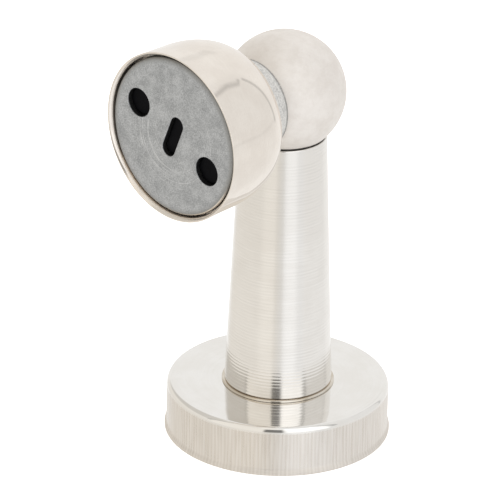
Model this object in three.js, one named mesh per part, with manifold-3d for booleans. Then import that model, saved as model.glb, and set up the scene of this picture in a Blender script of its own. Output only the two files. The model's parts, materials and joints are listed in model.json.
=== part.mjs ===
// A floor door holder: a weighted magnetic catch on a tapered post that stands on a round base.
//
// Frame: millimetres, +Z up, origin at the centre of the underside of the base, on the floor.
// At rest the head looks along -Y. The head's own pieces are built in the head group, whose
// +Z is the head's axis, so a height there is a distance from the centre of the ball.
import * as THREE from "three";
import Module from "manifold-3d";
import { mergeVertices } from "three/addons/utils/BufferGeometryUtils.js";

const wasm = await Module();
wasm.setup();

// ---- driving dimensions ----------------------------------------------------
const WIDE = 60; // sides of the widest turned surfaces
const ROUND = 44; // sides of a visible turned surface
const SMALL = 20; // sides of a small turned surface

// base: a drawn cover over a steel plate that is screwed to the floor
const LIP_R = 25.0;
const LIP_H = 1.1;
const WALL_R = 24.6;
const COVER_H = 11.6;
const COVER_T = 1.0;
const COVER_SHOULDER = 1.4;
const PLATE_R = 23.2;
const PLATE_T = 3.0;
const BOSS_R = 9.0;
const FLOOR_HOLE_R = 2.5;
const FLOOR_HOLE_SINK_R = 4.8;
const FLOOR_HOLE_CIRCLE_R = 16.0;
const FLOOR_HOLES = 3;

// post: a tapered turned tube with a bush at the foot and a plug at the top
const STUD_R = 3.8;
const STUD_FROM = 3.6;
const STUD_TO = 22.5;
const FOOT_RING_R = 12.6;
const FOOT_RING_T = 0.45;
const POST_FROM = 12.15;
const POST_TO = 71.4;
const POST_FOOT_R = 11.9;
const POST_TOP_R = 9.6;
const POST_WALL = 1.5;
const FOOT_BUSH_TO = 24.5;
const PLUG_FROM = 63.6;

// ball joint
const BALL_R = 13.55;
const BALL_Z = 81.55;
const BALL_FLAT_Z = 71.9;
const SEAT_R = 9.2;
const SEAT_FROM = 71.45;
const SEAT_TO = 71.85;
const BOLT_R = 2.85;
const BOLT_HEAD_R = 5.0;
const BOLT_HEAD_H = 6.0;
const BOLT_TO = 82.6;

// head, measured along the head's axis from the ball's centre
const NECK_R = 10.0;
const NECK_REAR_GAP = 0.12;
const NECK_CUP_R = 10.7;
const CUP_BACK = 16.0;
const CUP_RIM = 35.3;
const CUP_R = 18.85;
const CUP_RIM_R = 19.05;
const CUP_WALL = 0.95;
const CUP_BACK_R = 13.35;
const CUP_SHOULDER_L = 12.0;
const CUP_MOUTH_R = 18.35;
const CUP_MOUTH_FROM = 31.2;
const RING_GROOVE_FROM = 29.42;
const RING_GROOVE_TO = 30.38;
const RING_OUTER_R = 18.3;
const RING_INNER_R = 17.2;
const CUP_SCREW_R = 2.35;

// magnet pack, which floats in the cup
const FACE = 34.65;
const FACE_R = 17.8;
const FACE_EDGE = 0.8;
const FACE_T = 2.0;
const TOOL_HOLE_R = 3.25;
const TOOL_HOLE_CIRCLE_R = 11.3;
const TOOL_HOLE_ANGLE = 155.3;
const SLOT_WIDTH = 3.7;
const SLOT_LENGTH = 10.2;
const SLOT_ANGLE = 69;
const PEG_RECESS = 1.05;
const CARRIER_R = 16.9;
const CARRIER_FLANGE_R = 17.6;
const CARRIER_FLANGE_FROM = 28.4;
const CARRIER_BACK = 24.4;
const MAGNET_R = 15.0;
const MAGNET_HOLE_R = 5.0;
const MAGNET_FROM = 26.7;
const MAGNET_TO = 31.7;
const BACK_PLATE_FROM = 25.1;
const BACK_PLATE_TO = 26.6;

// buffer spring behind the magnet pack
const SPRING_R = 7.6;
const SPRING_WIRE_R = 0.6;
const SPRING_TURNS = 3.5;

// ---- materials ---------------------------------------------------------------
function metal(color, roughness) {
  return new THREE.MeshStandardMaterial({ color, roughness, metalness: 1.0 });
}

function plastic(color, roughness) {
  return new THREE.MeshStandardMaterial({ color, roughness, metalness: 0.0 });
}

const POLISHED = metal(0xe6e0d8, 0.12);
const TURNED = metal(0xdcd7d0, 0.3);
const SATIN = metal(0xdad5cd, 0.4);
const PLAIN_STEEL = metal(0x9a9c9c, 0.5);
const ZINC = metal(0xb9bcbd, 0.35);
const FERRITE = plastic(0x1c1c1e, 0.7);
const BLACK_PLASTIC = plastic(0x0c0c0d, 0.45);
const NYLON = plastic(0x2a2725, 0.6);

// ---- shape helpers ---------------------------------------------------------------
function radians(degrees) {
  return (degrees * Math.PI) / 180;
}

/** Twice the signed area of a closed outline of [r, z] points. */
function signedArea(points) {
  let sum = 0;
  points.forEach(([r, z], i) => {
    const [nextR, nextZ] = points[(i + 1) % points.length];
    sum += r * nextZ - nextR * z;
  });
  return sum;
}

/** A solid of revolution about Z from [r, z] points; `ring` closes an outline off the axis. */
function turned(outline, sides = ROUND, ring = false) {
  const points = signedArea(outline) > 0 ? [...outline] : [...outline].reverse();
  if (ring) {
    points.push(points[0]);
  }
  const profile = points.map(([r, z]) => new THREE.Vector2(r, z));
  return new THREE.LatheGeometry(profile, sides).rotateX(Math.PI / 2);
}

/** A ring of revolution: an outline that stays clear of the axis. */
function turnedRing(outline, sides = ROUND) {
  return turned(outline, sides, true);
}

/** Points on an ellipse's arc about (r, z), from one angle to another in degrees. */
function arc(r, z, radiusR, radiusZ, from, to, steps) {
  const points = [];
  for (let i = 0; i <= steps; i += 1) {
    const angle = radians(from + ((to - from) * i) / steps);
    points.push([r + radiusR * Math.cos(angle), z + radiusZ * Math.sin(angle)]);
  }
  return points;
}

/** The same arc of a circle as Vector2 points, for an extruded outline. */
function arcPoints(x, y, radius, from, to, steps) {
  return arc(x, y, radius, radius, from, to, steps).map(([px, py]) => new THREE.Vector2(px, py));
}

/** A plain cylinder along Z. */
function rod(radius, from, to, sides = SMALL) {
  return turned([[0, from], [radius, from], [radius, to], [0, to]], sides);
}

/** A rod with a chamfer at each end. */
function chamferedRod(radius, from, to, chamfer) {
  const outline = [
    [0, from], [radius - chamfer, from], [radius, from + chamfer],
    [radius, to - chamfer], [radius - chamfer, to], [0, to],
  ];
  return turned(outline, SMALL);
}

/** A flat washer along Z. */
function washer(inner, outer, from, to, sides = SMALL) {
  return turnedRing([[inner, from], [outer, from], [outer, to], [inner, to]], sides);
}

function toSolid(geometry) {
  const bare = geometry.clone();
  bare.deleteAttribute("normal");
  bare.deleteAttribute("uv");
  const merged = mergeVertices(bare, 1e-4);
  const vertProperties = new Float32Array(merged.attributes.position.array);
  const triVerts = new Uint32Array(merged.index.array);
  return new wasm.Manifold(new wasm.Mesh({ numProp: 3, vertProperties, triVerts }));
}

function toGeometry(solid) {
  const mesh = solid.getMesh();
  const geometry = new THREE.BufferGeometry();
  geometry.setAttribute("position", new THREE.BufferAttribute(mesh.vertProperties, 3));
  geometry.setIndex(new THREE.BufferAttribute(mesh.triVerts, 1));
  geometry.computeVertexNormals();
  return geometry;
}

/** One geometry with the tools' volumes taken away. */
function cut(geometry, tools) {
  let solid = toSolid(geometry);
  for (const tool of tools) {
    solid = solid.subtract(toSolid(tool));
  }
  return toGeometry(solid);
}

/** One geometry joined with others that overlap it. */
function join(geometry, others) {
  let solid = toSolid(geometry);
  for (const other of others) {
    solid = solid.add(toSolid(other));
  }
  return toGeometry(solid);
}

function mesh(name, geometry, material) {
  const piece = new THREE.Mesh(geometry, material);
  piece.name = name;
  return piece;
}

// ---- base ---------------------------------------------------------------------------
/** The steel plate on the floor, with a boss for the stud and countersunk floor-screw holes. */
function floorPlate() {
  const top = COVER_H - COVER_T - 0.05;
  const outline = [
    [0, 0], [PLATE_R, 0], [PLATE_R, PLATE_T - 0.4], [PLATE_R - 0.4, PLATE_T],
    [BOSS_R + 0.8, PLATE_T], [BOSS_R, PLATE_T + 0.8], [BOSS_R, top - 0.5],
    [BOSS_R - 0.5, top], [STUD_R + 0.1, top], [STUD_R + 0.1, STUD_FROM - 0.4],
    [0, STUD_FROM - 1.2],
  ];
  const holes = [];
  for (let i = 0; i < FLOOR_HOLES; i += 1) {
    const angle = radians(90 + (360 / FLOOR_HOLES) * i);
    const hole = turned([
      [0, -1], [FLOOR_HOLE_R, -1], [FLOOR_HOLE_R, 0.7], [FLOOR_HOLE_SINK_R, PLATE_T],
      [FLOOR_HOLE_SINK_R, PLATE_T + 1], [0, PLATE_T + 1],
    ], 32);
    hole.translate(FLOOR_HOLE_CIRCLE_R * Math.cos(angle), FLOOR_HOLE_CIRCLE_R * Math.sin(angle), 0);
    holes.push(hole);
  }
  return mesh("floor_plate", cut(turned(outline), holes), ZINC);
}

/** The drawn cover, open underneath, with a small lip that stands on the floor. */
function baseCover() {
  const inner = WALL_R - COVER_T;
  const s = COVER_SHOULDER;
  const under = COVER_H - COVER_T;
  const outline = [
    [inner, 0], [LIP_R - 0.15, 0], [LIP_R, 0.15], [LIP_R, LIP_H - 0.2], [WALL_R, LIP_H + 0.3],
    ...arc(WALL_R - s, COVER_H - s, s, s, 0, 90, 5),
    [STUD_R + 0.4, COVER_H], [STUD_R + 0.4, under],
    ...arc(inner - 0.6, under - 0.6, 0.6, 0.6, 90, 0, 3),
  ];
  return mesh("base_cover", turnedRing(outline, WIDE), POLISHED);
}

/** The threaded stud that clamps post, ring and cover down on the plate's boss. */
function centreStud() {
  return mesh("centre_stud", chamferedRod(STUD_R, STUD_FROM, STUD_TO, 0.6), ZINC);
}

// ---- post --------------------------------------------------------------------------------
/** The outer radius of the post at a height. */
function postRadius(z) {
  const share = (z - POST_FROM) / (POST_TO - POST_FROM);
  return POST_FOOT_R + (POST_TOP_R - POST_FOOT_R) * share;
}

/** The radius of the post's bore at a height. */
function boreRadius(z) {
  return postRadius(z) - POST_WALL;
}

/** The thin bright ring between the cover and the foot of the post. */
function footRing() {
  const from = COVER_H + 0.05;
  const to = from + FOOT_RING_T;
  const outline = [
    [STUD_R + 0.4, from], [FOOT_RING_R - 0.12, from], [FOOT_RING_R, from + 0.12],
    [FOOT_RING_R, to - 0.15], [FOOT_RING_R - 0.15, to], [STUD_R + 0.4, to],
  ];
  return mesh("foot_ring", turnedRing(outline), POLISHED);
}

/** The tapered tube. */
function postTube() {
  const outline = [
    [boreRadius(POST_FROM), POST_FROM], [postRadius(POST_FROM) - 0.1, POST_FROM],
    [postRadius(POST_FROM + 0.1), POST_FROM + 0.1], [postRadius(POST_TO - 0.15), POST_TO - 0.15],
    [postRadius(POST_TO) - 0.15, POST_TO], [boreRadius(POST_TO), POST_TO],
  ];
  return mesh("post_tube", turnedRing(outline, WIDE), TURNED);
}

/** The threaded bush in the foot of the post. */
function footBush() {
  const fit = 0.06;
  const from = POST_FROM + 0.05;
  const outline = [
    [STUD_R + 0.1, from], [boreRadius(from) - fit, from],
    [boreRadius(FOOT_BUSH_TO) - fit, FOOT_BUSH_TO], [STUD_R + 0.1, FOOT_BUSH_TO],
  ];
  return mesh("foot_bush", turnedRing(outline, SMALL), ZINC);
}

/** The plug in the top of the post that the ball's bolt turns in. */
function topPlug() {
  const fit = 0.06;
  const to = POST_TO - 0.02;
  const outline = [
    [BOLT_R + 0.25, PLUG_FROM], [boreRadius(PLUG_FROM) - fit, PLUG_FROM],
    [boreRadius(to) - fit, to], [BOLT_R + 0.25, to],
  ];
  return mesh("top_plug", turnedRing(outline, SMALL), ZINC);
}

/** The dark friction ring that the ball turns on. */
function seatRing() {
  return mesh("seat_ring", washer(BOLT_R + 0.4, SEAT_R, SEAT_FROM, SEAT_TO, ROUND), NYLON);
}

// ---- ball and its bolt, on the post's axis ---------------------------------------------------
/** The ball: flat underneath, bored from below for its bolt and from the front for the cup's. */
function ball() {
  const sphere = turned(arc(0, BALL_Z, BALL_R, BALL_R, -90, 90, 24), 48);
  const below = turned([[0, 60], [20, 60], [20, BALL_FLAT_Z], [0, BALL_FLAT_Z]], SMALL);
  const bolt = rod(BOLT_R + 0.1, 60, BOLT_TO + 0.9);
  const screw = rod(CUP_SCREW_R + 0.1, 4.6, 20);
  screw.rotateX(Math.PI / 2);
  screw.translate(0, 0, BALL_Z);
  return mesh("ball", cut(sphere, [below, bolt, screw]), SATIN);
}

/** The socket-head bolt that holds the ball down on the post from inside. */
function ballBolt() {
  const headTop = PLUG_FROM - 2.45;
  const headBottom = headTop - BOLT_HEAD_H;
  const outline = [
    [0, headBottom], [BOLT_HEAD_R - 0.4, headBottom], [BOLT_HEAD_R, headBottom + 0.4],
    [BOLT_HEAD_R, headTop], [BOLT_R, headTop], [BOLT_R, BOLT_TO - 0.6],
    [BOLT_R - 0.6, BOLT_TO], [0, BOLT_TO],
  ];
  const socket = rod(2.89, headBottom - 1, headBottom + 3, 6);
  return mesh("ball_bolt", cut(turned(outline, SMALL), [socket]), ZINC);
}

/** The hard flat washer under the plug. */
function thrustWasher() {
  return mesh("thrust_washer", washer(BOLT_R + 0.25, 6.4, PLUG_FROM - 1.05, PLUG_FROM - 0.05), ZINC);
}

/** The conical spring washer that keeps the ball's friction. */
function discSpring() {
  const inner = BOLT_R + 0.25;
  const outer = 6.2;
  const low = PLUG_FROM - 2.4;
  const outline = [[inner, low + 0.6], [outer, low], [outer, low + 0.6], [inner, low + 1.25]];
  return mesh("disc_spring", turnedRing(outline, SMALL), ZINC);
}

// ---- head, in the head group ------------------------------------------------------------------
/** The short matte collar between the ball and the cup, seated on the ball. */
function neckCollar() {
  const seat = BALL_R + NECK_REAR_GAP;
  const bore = CUP_SCREW_R + 0.15;
  const outer = Math.asin(NECK_R / seat);
  const inner = Math.asin(bore / seat);
  const outline = [];
  for (let i = 0; i <= 6; i += 1) {
    const angle = inner + ((outer - inner) * i) / 6;
    outline.push([seat * Math.sin(angle), seat * Math.cos(angle)]);
  }
  outline.push([NECK_R + 0.1, CUP_BACK - 3.5]);
  outline.push([NECK_CUP_R, CUP_BACK - 0.05]);
  outline.push([bore, CUP_BACK - 0.05]);
  return mesh("neck_collar", turnedRing(outline), PLAIN_STEEL);
}

/** The polished drawn cup: a wider mouth for the face, and behind it a groove for the snap ring. */
function magnetCup() {
  const floor = CUP_BACK + CUP_WALL + 0.05;
  const shoulderR = CUP_R - CUP_BACK_R;
  const bore = CUP_SCREW_R + 0.2;
  const innerR = CUP_R - CUP_WALL;
  const landR = innerR + 0.05;
  const groove = RING_OUTER_R + 0.05;
  const outline = [
    [bore, CUP_BACK],
    ...arc(CUP_BACK_R, CUP_BACK + CUP_SHOULDER_L, shoulderR, CUP_SHOULDER_L, -90, 0, 9),
    [CUP_RIM_R, CUP_RIM - 0.3], [CUP_RIM_R - 0.25, CUP_RIM], [CUP_MOUTH_R + 0.15, CUP_RIM],
    [CUP_MOUTH_R, CUP_RIM - 0.15], [CUP_MOUTH_R, CUP_MOUTH_FROM], [landR, CUP_MOUTH_FROM],
    [landR, RING_GROOVE_TO], [groove, RING_GROOVE_TO], [groove, RING_GROOVE_FROM],
    [landR, RING_GROOVE_FROM],
    ...arc(CUP_BACK_R, CUP_BACK + CUP_SHOULDER_L, innerR - CUP_BACK_R,
      CUP_SHOULDER_L + CUP_BACK - floor, 0, -90, 7),
    [bore, floor],
  ];
  return mesh("magnet_cup", turnedRing(outline, WIDE), POLISHED);
}

/** The pan-head screw through the cup's floor and the neck into the ball. */
function cupScrew() {
  const under = CUP_BACK + 2.1;
  const top = under + 2.6;
  const tip = 5.6;
  const outline = [
    [0, tip], [CUP_SCREW_R - 0.5, tip], [CUP_SCREW_R, tip + 0.5], [CUP_SCREW_R, under],
    [4.5, under], [4.5, top - 1.1], [3.6, top - 0.2], [2.2, top], [0, top],
  ];
  const crossA = new THREE.BoxGeometry(4.6, 1.0, 2.4).translate(0, 0, top);
  const crossB = new THREE.BoxGeometry(1.0, 4.6, 2.4).translate(0, 0, top);
  return mesh("cup_screw", cut(turned(outline, SMALL), [crossA, crossB]), ZINC);
}

/** The split washer under the screw's head. */
function lockWasher() {
  const inner = CUP_SCREW_R + 0.2;
  const ring = washer(inner, 4.3, CUP_BACK + 1.05, CUP_BACK + 2.05);
  const slit = new THREE.BoxGeometry(3.2, 0.5, 4).rotateX(radians(25));
  slit.translate(inner + 1, 0, CUP_BACK + 1.5);
  return mesh("lock_washer", cut(ring, [slit]), ZINC);
}

/** The snap ring in the cup's groove that stops the magnet pack. */
function retainingRing() {
  const shape = new THREE.Shape([
    ...arcPoints(0, 0, RING_OUTER_R, 35, 385, WIDE),
    ...arcPoints(0, 0, RING_INNER_R, 385, 35, WIDE),
  ]);
  const depth = RING_GROOVE_TO - RING_GROOVE_FROM - 0.12;
  const ring = new THREE.ExtrudeGeometry(shape, { depth, bevelEnabled: false });
  ring.translate(0, 0, RING_GROOVE_FROM + 0.06);
  return mesh("retaining_ring", ring, ZINC);
}

class Helix extends THREE.Curve {
  constructor(radius, turns, from, to) {
    super();
    Object.assign(this, { radius, turns, from, to });
  }

  getPoint(share, target = new THREE.Vector3()) {
    const angle = share * this.turns * 2 * Math.PI;
    const z = this.from + (this.to - this.from) * share;
    return target.set(this.radius * Math.cos(angle), this.radius * Math.sin(angle), z);
  }
}

/** A round wire outline for a swept solid. */
function wireSection(radius, sides) {
  return new THREE.Shape(arcPoints(0, 0, radius, 0, 360, sides).slice(1));
}

/** The compression spring between the cup's floor and the magnet pack. */
function bufferSpring() {
  const from = CUP_BACK + CUP_WALL + SPRING_WIRE_R + 0.15;
  const to = BACK_PLATE_FROM - SPRING_WIRE_R - 0.1;
  const helix = new Helix(SPRING_R, SPRING_TURNS, from, to);
  const wire = new THREE.ExtrudeGeometry(wireSection(SPRING_WIRE_R, 7), {
    steps: 56, extrudePath: helix, bevelEnabled: false,
  });
  return mesh("buffer_spring", wire, ZINC);
}

// ---- magnet pack, in the head group --------------------------------------------------------------
/** The centres of the two round holes in the face. */
function toolHoleCentres() {
  return [0, 180].map((turn) => {
    const angle = radians(TOOL_HOLE_ANGLE + turn);
    return [TOOL_HOLE_CIRCLE_R * Math.cos(angle), TOOL_HOLE_CIRCLE_R * Math.sin(angle)];
  });
}

/** The slot's outline about the axis, `shrink` smaller all round. */
function slotPoints(shrink) {
  const half = (SLOT_LENGTH - SLOT_WIDTH) / 2;
  const r = SLOT_WIDTH / 2 - shrink;
  const dx = half * Math.cos(radians(SLOT_ANGLE));
  const dy = half * Math.sin(radians(SLOT_ANGLE));
  return [
    ...arcPoints(dx, dy, r, SLOT_ANGLE - 90, SLOT_ANGLE + 90, 8),
    ...arcPoints(-dx, -dy, r, SLOT_ANGLE + 90, SLOT_ANGLE + 270, 8),
  ];
}

/** The steel pole plate: the holder's working face, with a rounded edge from the punch. */
function polePlate() {
  const back = FACE - FACE_T;
  const disc = turned([
    [0, back], [FACE_R - 0.15, back], [FACE_R, back + 0.15],
    ...arc(FACE_R - FACE_EDGE, FACE - FACE_EDGE, FACE_EDGE, FACE_EDGE, 0, 90, 4),
    [0, FACE],
  ], WIDE);
  const holes = toolHoleCentres().map(([x, y]) => {
    const hole = rod(TOOL_HOLE_R, back - 1, FACE + 1, 24);
    return hole.translate(x, y, 0);
  });
  const slot = new THREE.ExtrudeGeometry(new THREE.Shape(slotPoints(0)), {
    depth: FACE_T + 2, bevelEnabled: false,
  });
  slot.translate(0, 0, back - 1);
  return mesh("pole_plate", cut(disc, [...holes, slot]), PLAIN_STEEL);
}

/** The black moulded carrier: a shell for the magnet, with pegs that locate the pole plate. */
function magnetCarrier() {
  const front = FACE - FACE_T - 0.05;
  const bore = MAGNET_R + 0.2;
  const body = turned([
    [0, MAGNET_TO + 0.05], [bore, MAGNET_TO + 0.05], [bore, BACK_PLATE_FROM - 0.1],
    [bore - 0.6, BACK_PLATE_FROM - 0.2], [bore - 0.6, CARRIER_BACK], [CARRIER_R - 0.3, CARRIER_BACK],
    [CARRIER_R, CARRIER_BACK + 0.3], [CARRIER_R, CARRIER_FLANGE_FROM],
    [CARRIER_FLANGE_R, CARRIER_FLANGE_FROM], [CARRIER_FLANGE_R, RING_GROOVE_FROM],
    [CARRIER_R, RING_GROOVE_FROM], [CARRIER_R, front - 0.3], [CARRIER_R - 0.3, front],
    [0, front],
  ]);
  const pegTop = FACE - PEG_RECESS;
  const pegs = toolHoleCentres().map(([x, y]) => {
    const peg = rod(TOOL_HOLE_R - 0.12, front - 0.4, pegTop, 24);
    return peg.translate(x, y, 0);
  });
  const key = new THREE.ExtrudeGeometry(new THREE.Shape(slotPoints(0.12)), {
    depth: pegTop - front + 0.4, bevelEnabled: false,
  });
  key.translate(0, 0, front - 0.4);
  return mesh("magnet_carrier", join(body, [...pegs, key]), BLACK_PLASTIC);
}

/** The ferrite ring magnet. */
function ringMagnet() {
  return mesh("ring_magnet", washer(MAGNET_HOLE_R, MAGNET_R, MAGNET_FROM, MAGNET_TO), FERRITE);
}

/** The steel yoke behind the magnet. */
function backPlate() {
  return mesh("back_plate", chamferedRod(MAGNET_R, BACK_PLATE_FROM, BACK_PLATE_TO, 0.3), ZINC);
}

// ---- the whole holder -------------------------------------------------------------------------------
const base = new THREE.Group();
base.add(floorPlate(), baseCover(), centreStud(), footRing());
base.add(postTube(), footBush(), topPlug(), seatRing());

const swivel = new THREE.Group();
swivel.add(ball(), ballBolt(), thrustWasher(), discSpring());

const head = new THREE.Group();
head.position.set(0, 0, BALL_Z);
head.rotation.x = Math.PI / 2;
head.add(neckCollar(), magnetCup(), cupScrew(), lockWasher(), retainingRing(), bufferSpring());
head.add(polePlate(), magnetCarrier(), ringMagnet(), backPlate());
swivel.add(head);

const holder = new THREE.Group();
holder.add(base, swivel);

export default holder;
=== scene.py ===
# %% [markdown]
# # A floor door holder
# The holder is a handful of turned and drawn steel parts stacked on one upright axis, with a
# second axis lying flat through the ball for the magnet head. The exact solids come first and
# stay as the frame. Each part that shows is then made again with a finer surface, in the same
# place and at the same size, and rides on the same moving body.

# %% Load the frame
import json
import math
import bmesh
import bpy
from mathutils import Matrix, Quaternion, Vector


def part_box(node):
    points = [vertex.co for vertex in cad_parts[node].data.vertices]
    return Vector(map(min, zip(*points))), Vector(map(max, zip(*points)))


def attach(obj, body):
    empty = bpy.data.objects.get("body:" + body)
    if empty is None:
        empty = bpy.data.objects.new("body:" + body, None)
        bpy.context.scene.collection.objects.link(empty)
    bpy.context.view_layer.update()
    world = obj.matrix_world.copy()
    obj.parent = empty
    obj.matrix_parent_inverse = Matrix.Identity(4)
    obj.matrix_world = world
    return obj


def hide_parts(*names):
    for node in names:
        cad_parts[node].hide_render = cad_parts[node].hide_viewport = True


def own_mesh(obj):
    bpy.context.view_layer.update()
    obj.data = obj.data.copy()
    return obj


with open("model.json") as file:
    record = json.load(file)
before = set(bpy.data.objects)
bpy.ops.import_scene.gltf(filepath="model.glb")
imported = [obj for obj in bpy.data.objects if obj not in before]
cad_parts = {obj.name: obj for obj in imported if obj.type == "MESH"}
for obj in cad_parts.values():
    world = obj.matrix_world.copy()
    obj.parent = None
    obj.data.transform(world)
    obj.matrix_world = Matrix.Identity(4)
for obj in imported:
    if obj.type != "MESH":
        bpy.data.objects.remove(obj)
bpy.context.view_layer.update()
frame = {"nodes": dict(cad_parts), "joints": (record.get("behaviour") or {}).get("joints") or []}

# %% [markdown]
# ## Measures
# Sizes are read off the exact solids, so the finer parts can't drift away from them. Blender
# works in metres and a maker thinks in millimetres, so one helper reads a part's size in mm.

# %% Read the sizes in millimetres
MM = 0.001


def span(node, axis):
    """A node's lowest and highest coordinate along an axis, in millimetres."""
    low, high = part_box(node)
    return 1000 * low[axis], 1000 * high[axis]


BALL_HEIGHT = 1000 * frame["joints"][0]["pos_m"][2]
COVER_TOP = span("base_cover", 2)[1]
COVER_LIP = span("base_cover", 0)[1]
POST_FOOT, POST_TOP = span("post_tube", 2)
CUP_BACK = -span("magnet_cup", 1)[1]
CUP_RIM = -span("magnet_cup", 1)[0]
CUP_RIM_RADIUS = span("magnet_cup", 0)[1]
FACE_FRONT = -span("pole_plate", 1)[0]
FACE_RADIUS = span("pole_plate", 0)[1]
print("post from", round(POST_FOOT, 2), "to", round(POST_TOP, 2))
print("cup from", round(CUP_BACK, 2), "to", round(CUP_RIM, 2), "from the ball's centre")

# %% [markdown]
# ## The camera
# A long lens from well back keeps the round base from spreading towards the viewer. It looks a
# little down, from the right of the way the head faces, and it is leaned by just over a degree.
# The position is the aim point plus a distance along the view line.

# %% Place the camera
VIEW_AZIMUTH = math.radians(43.43)
VIEW_HEIGHT = math.radians(25.83)
VIEW_LEAN = math.radians(1.195)
VIEW_DISTANCE = 1.4476
VIEW_AIM = Vector((-0.016479, 0.007574, 0.034770))
VIEW_LENS = 468.0


def line_out(azimuth, height):
    """A line of length one, out towards a bearing and up by a height, both in radians."""
    level = math.cos(height)
    return Vector((math.sin(azimuth) * level, -math.cos(azimuth) * level, math.sin(height)))


away = line_out(VIEW_AZIMUTH, VIEW_HEIGHT)
camera = bpy.data.objects.new("camera", bpy.data.cameras.new("camera"))
bpy.context.scene.collection.objects.link(camera)
camera.data.lens = VIEW_LENS
camera.data.sensor_width = 36.0
camera.data.clip_start = 0.01
camera.data.clip_end = 20.0
camera.location = VIEW_AIM + VIEW_DISTANCE * away
camera.rotation_mode = "QUATERNION"
level = (-away).to_track_quat("-Z", "Y")
lean = Quaternion((math.cos(VIEW_LEAN / 2), 0, 0, math.sin(VIEW_LEAN / 2)))
camera.rotation_quaternion = level @ lean
bpy.context.scene.camera = camera
print("camera at", [round(v, 3) for v in camera.location])

# %% [markdown]
# ## Writing node sums as Python sums
# A finish is mostly arithmetic on coordinates: how far a point is from an axis, how high it is,
# how strong a scratch is there. One small class wraps a socket and turns Python's own operators
# into Math nodes. A second one holds a material while it is built, and makes every other node.

# %% Wrap a socket so that sums make nodes
class Value:
    """One number in a node tree. Sums on it add Math nodes."""

    def __init__(self, nodes, socket):
        self.nodes = nodes
        self.socket = socket

    def __add__(self, other):
        return self.nodes.math("ADD", self, other)

    def __radd__(self, other):
        return self.nodes.math("ADD", other, self)

    def __sub__(self, other):
        return self.nodes.math("SUBTRACT", self, other)

    def __rsub__(self, other):
        return self.nodes.math("SUBTRACT", other, self)

    def __mul__(self, other):
        return self.nodes.math("MULTIPLY", self, other)

    def __rmul__(self, other):
        return self.nodes.math("MULTIPLY", other, self)

    def __truediv__(self, other):
        return self.nodes.math("DIVIDE", self, other)

    def __rtruediv__(self, other):
        return self.nodes.math("DIVIDE", other, self)

    def __pow__(self, other):
        return self.nodes.math("POWER", self, other)

    def ramp(self, low, high, start=0.0, end=1.0):
        """Goes smoothly from start to end as this value goes from low to high."""
        settings = {"interpolation_type": "SMOOTHSTEP"}
        inputs = {0: self, 1: low, 2: high, 3: start, 4: end}
        return self.nodes.node("ShaderNodeMapRange", settings, inputs)


class Nodes:
    """A node tree, and the one method that makes any node in it."""

    def __init__(self, tree):
        self.tree = tree

    def node(self, kind, settings=None, inputs=None, output=0):
        made = self.tree.nodes.new(kind)
        for key, value in (settings or {}).items():
            setattr(made, key, value)
        for key, value in (inputs or {}).items():
            if isinstance(value, Value):
                self.tree.links.new(value.socket, made.inputs[key])
            else:
                made.inputs[key].default_value = value
        return Value(self, made.outputs[output])

    def math(self, operation, *values):
        return self.node("ShaderNodeMath", {"operation": operation}, dict(enumerate(values)))

    def vector(self, x, y, z):
        return self.node("ShaderNodeCombineXYZ", None, {0: x, 1: y, 2: z})

    def length(self, a, b):
        return (a * a + b * b) ** 0.5

    def noise(self, vector, scale, detail=2.0, roughness=0.5):
        inputs = {"Vector": vector, "Scale": scale, "Detail": detail, "Roughness": roughness}
        return self.node("ShaderNodeTexNoise", None, inputs)

    def mix(self, dark, light, share):
        """A colour between two others."""
        settings = {"data_type": "RGBA"}
        dark = dark if isinstance(dark, Value) else (*dark, 1.0)
        light = light if isinstance(light, Value) else (*light, 1.0)
        return self.node("ShaderNodeMix", settings, {0: share, 6: dark, 7: light}, 2)


print("sums on a Value now make nodes")

# %% [markdown]
# ## A material while it is built
# Every finish starts from the same few things: a main shader, the place of the point that is
# shaded, and a relief. They are methods of one class, so that a finish below reads as a list of
# what is on the surface. The place comes from Object coordinates, which move with the part, so a
# scratch stays where it is when the head turns.

# %% Hold a material while it is built
class Finish(Nodes):
    """A material and its main shader."""

    def __init__(self, name, **sockets):
        self.material = bpy.data.materials.new(name)
        self.material.use_nodes = True
        super().__init__(self.material.node_tree)
        self.shader = self.tree.nodes["Principled BSDF"]
        for socket, value in sockets.items():
            self.shader.inputs[socket.replace("_", " ")].default_value = value

    def feed(self, socket, value):
        self.tree.links.new(value.socket, self.shader.inputs[socket])

    def place(self, centre=(0.0, 0.0, 0.0)):
        """The point being shaded, in millimetres from a centre, as three numbers."""
        point = self.node("ShaderNodeTexCoord", None, None, "Object")
        scaled = self.node("ShaderNodeMapping", {"vector_type": "TEXTURE"}, {
            "Vector": point, "Location": tuple(MM * c for c in centre), "Scale": (MM, MM, MM),
        })
        parts = self.node("ShaderNodeSeparateXYZ", None, {0: scaled})
        outputs = parts.socket.node.outputs
        return [Value(self, outputs[i]) for i in range(3)]

    def bump(self, height, depth_mm):
        """A relief of that depth, in millimetres, on the main shader."""
        made = self.node("ShaderNodeBump", None, {"Distance": MM * depth_mm, "Height": height})
        made.socket.node.inputs["Strength"].default_value = 1.0
        self.feed("Normal", made)


print("ready to build finishes")

# %% [markdown]
# ## Polished stainless steel
# The cup and the base cover are pressed from sheet and buffed. Buffing leaves almost a mirror,
# but never an even one: faint smears, a little waviness in the sheet, and hair-fine lines that
# follow the wheel. Colour stays nearly flat, so the reflections carry the look; roughness and a
# very shallow relief break them up. The wheel doesn't reach into the cup's mouth, so the bevel
# behind the rim is a little dull and the wall further in is duller.

# %% Make the polished finish for the cup
HEAD_CENTRE = (0.0, 0.0, BALL_HEIGHT)
CUP_MOUTH = 18.25
MOUTH_STEP = 31.2


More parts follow.
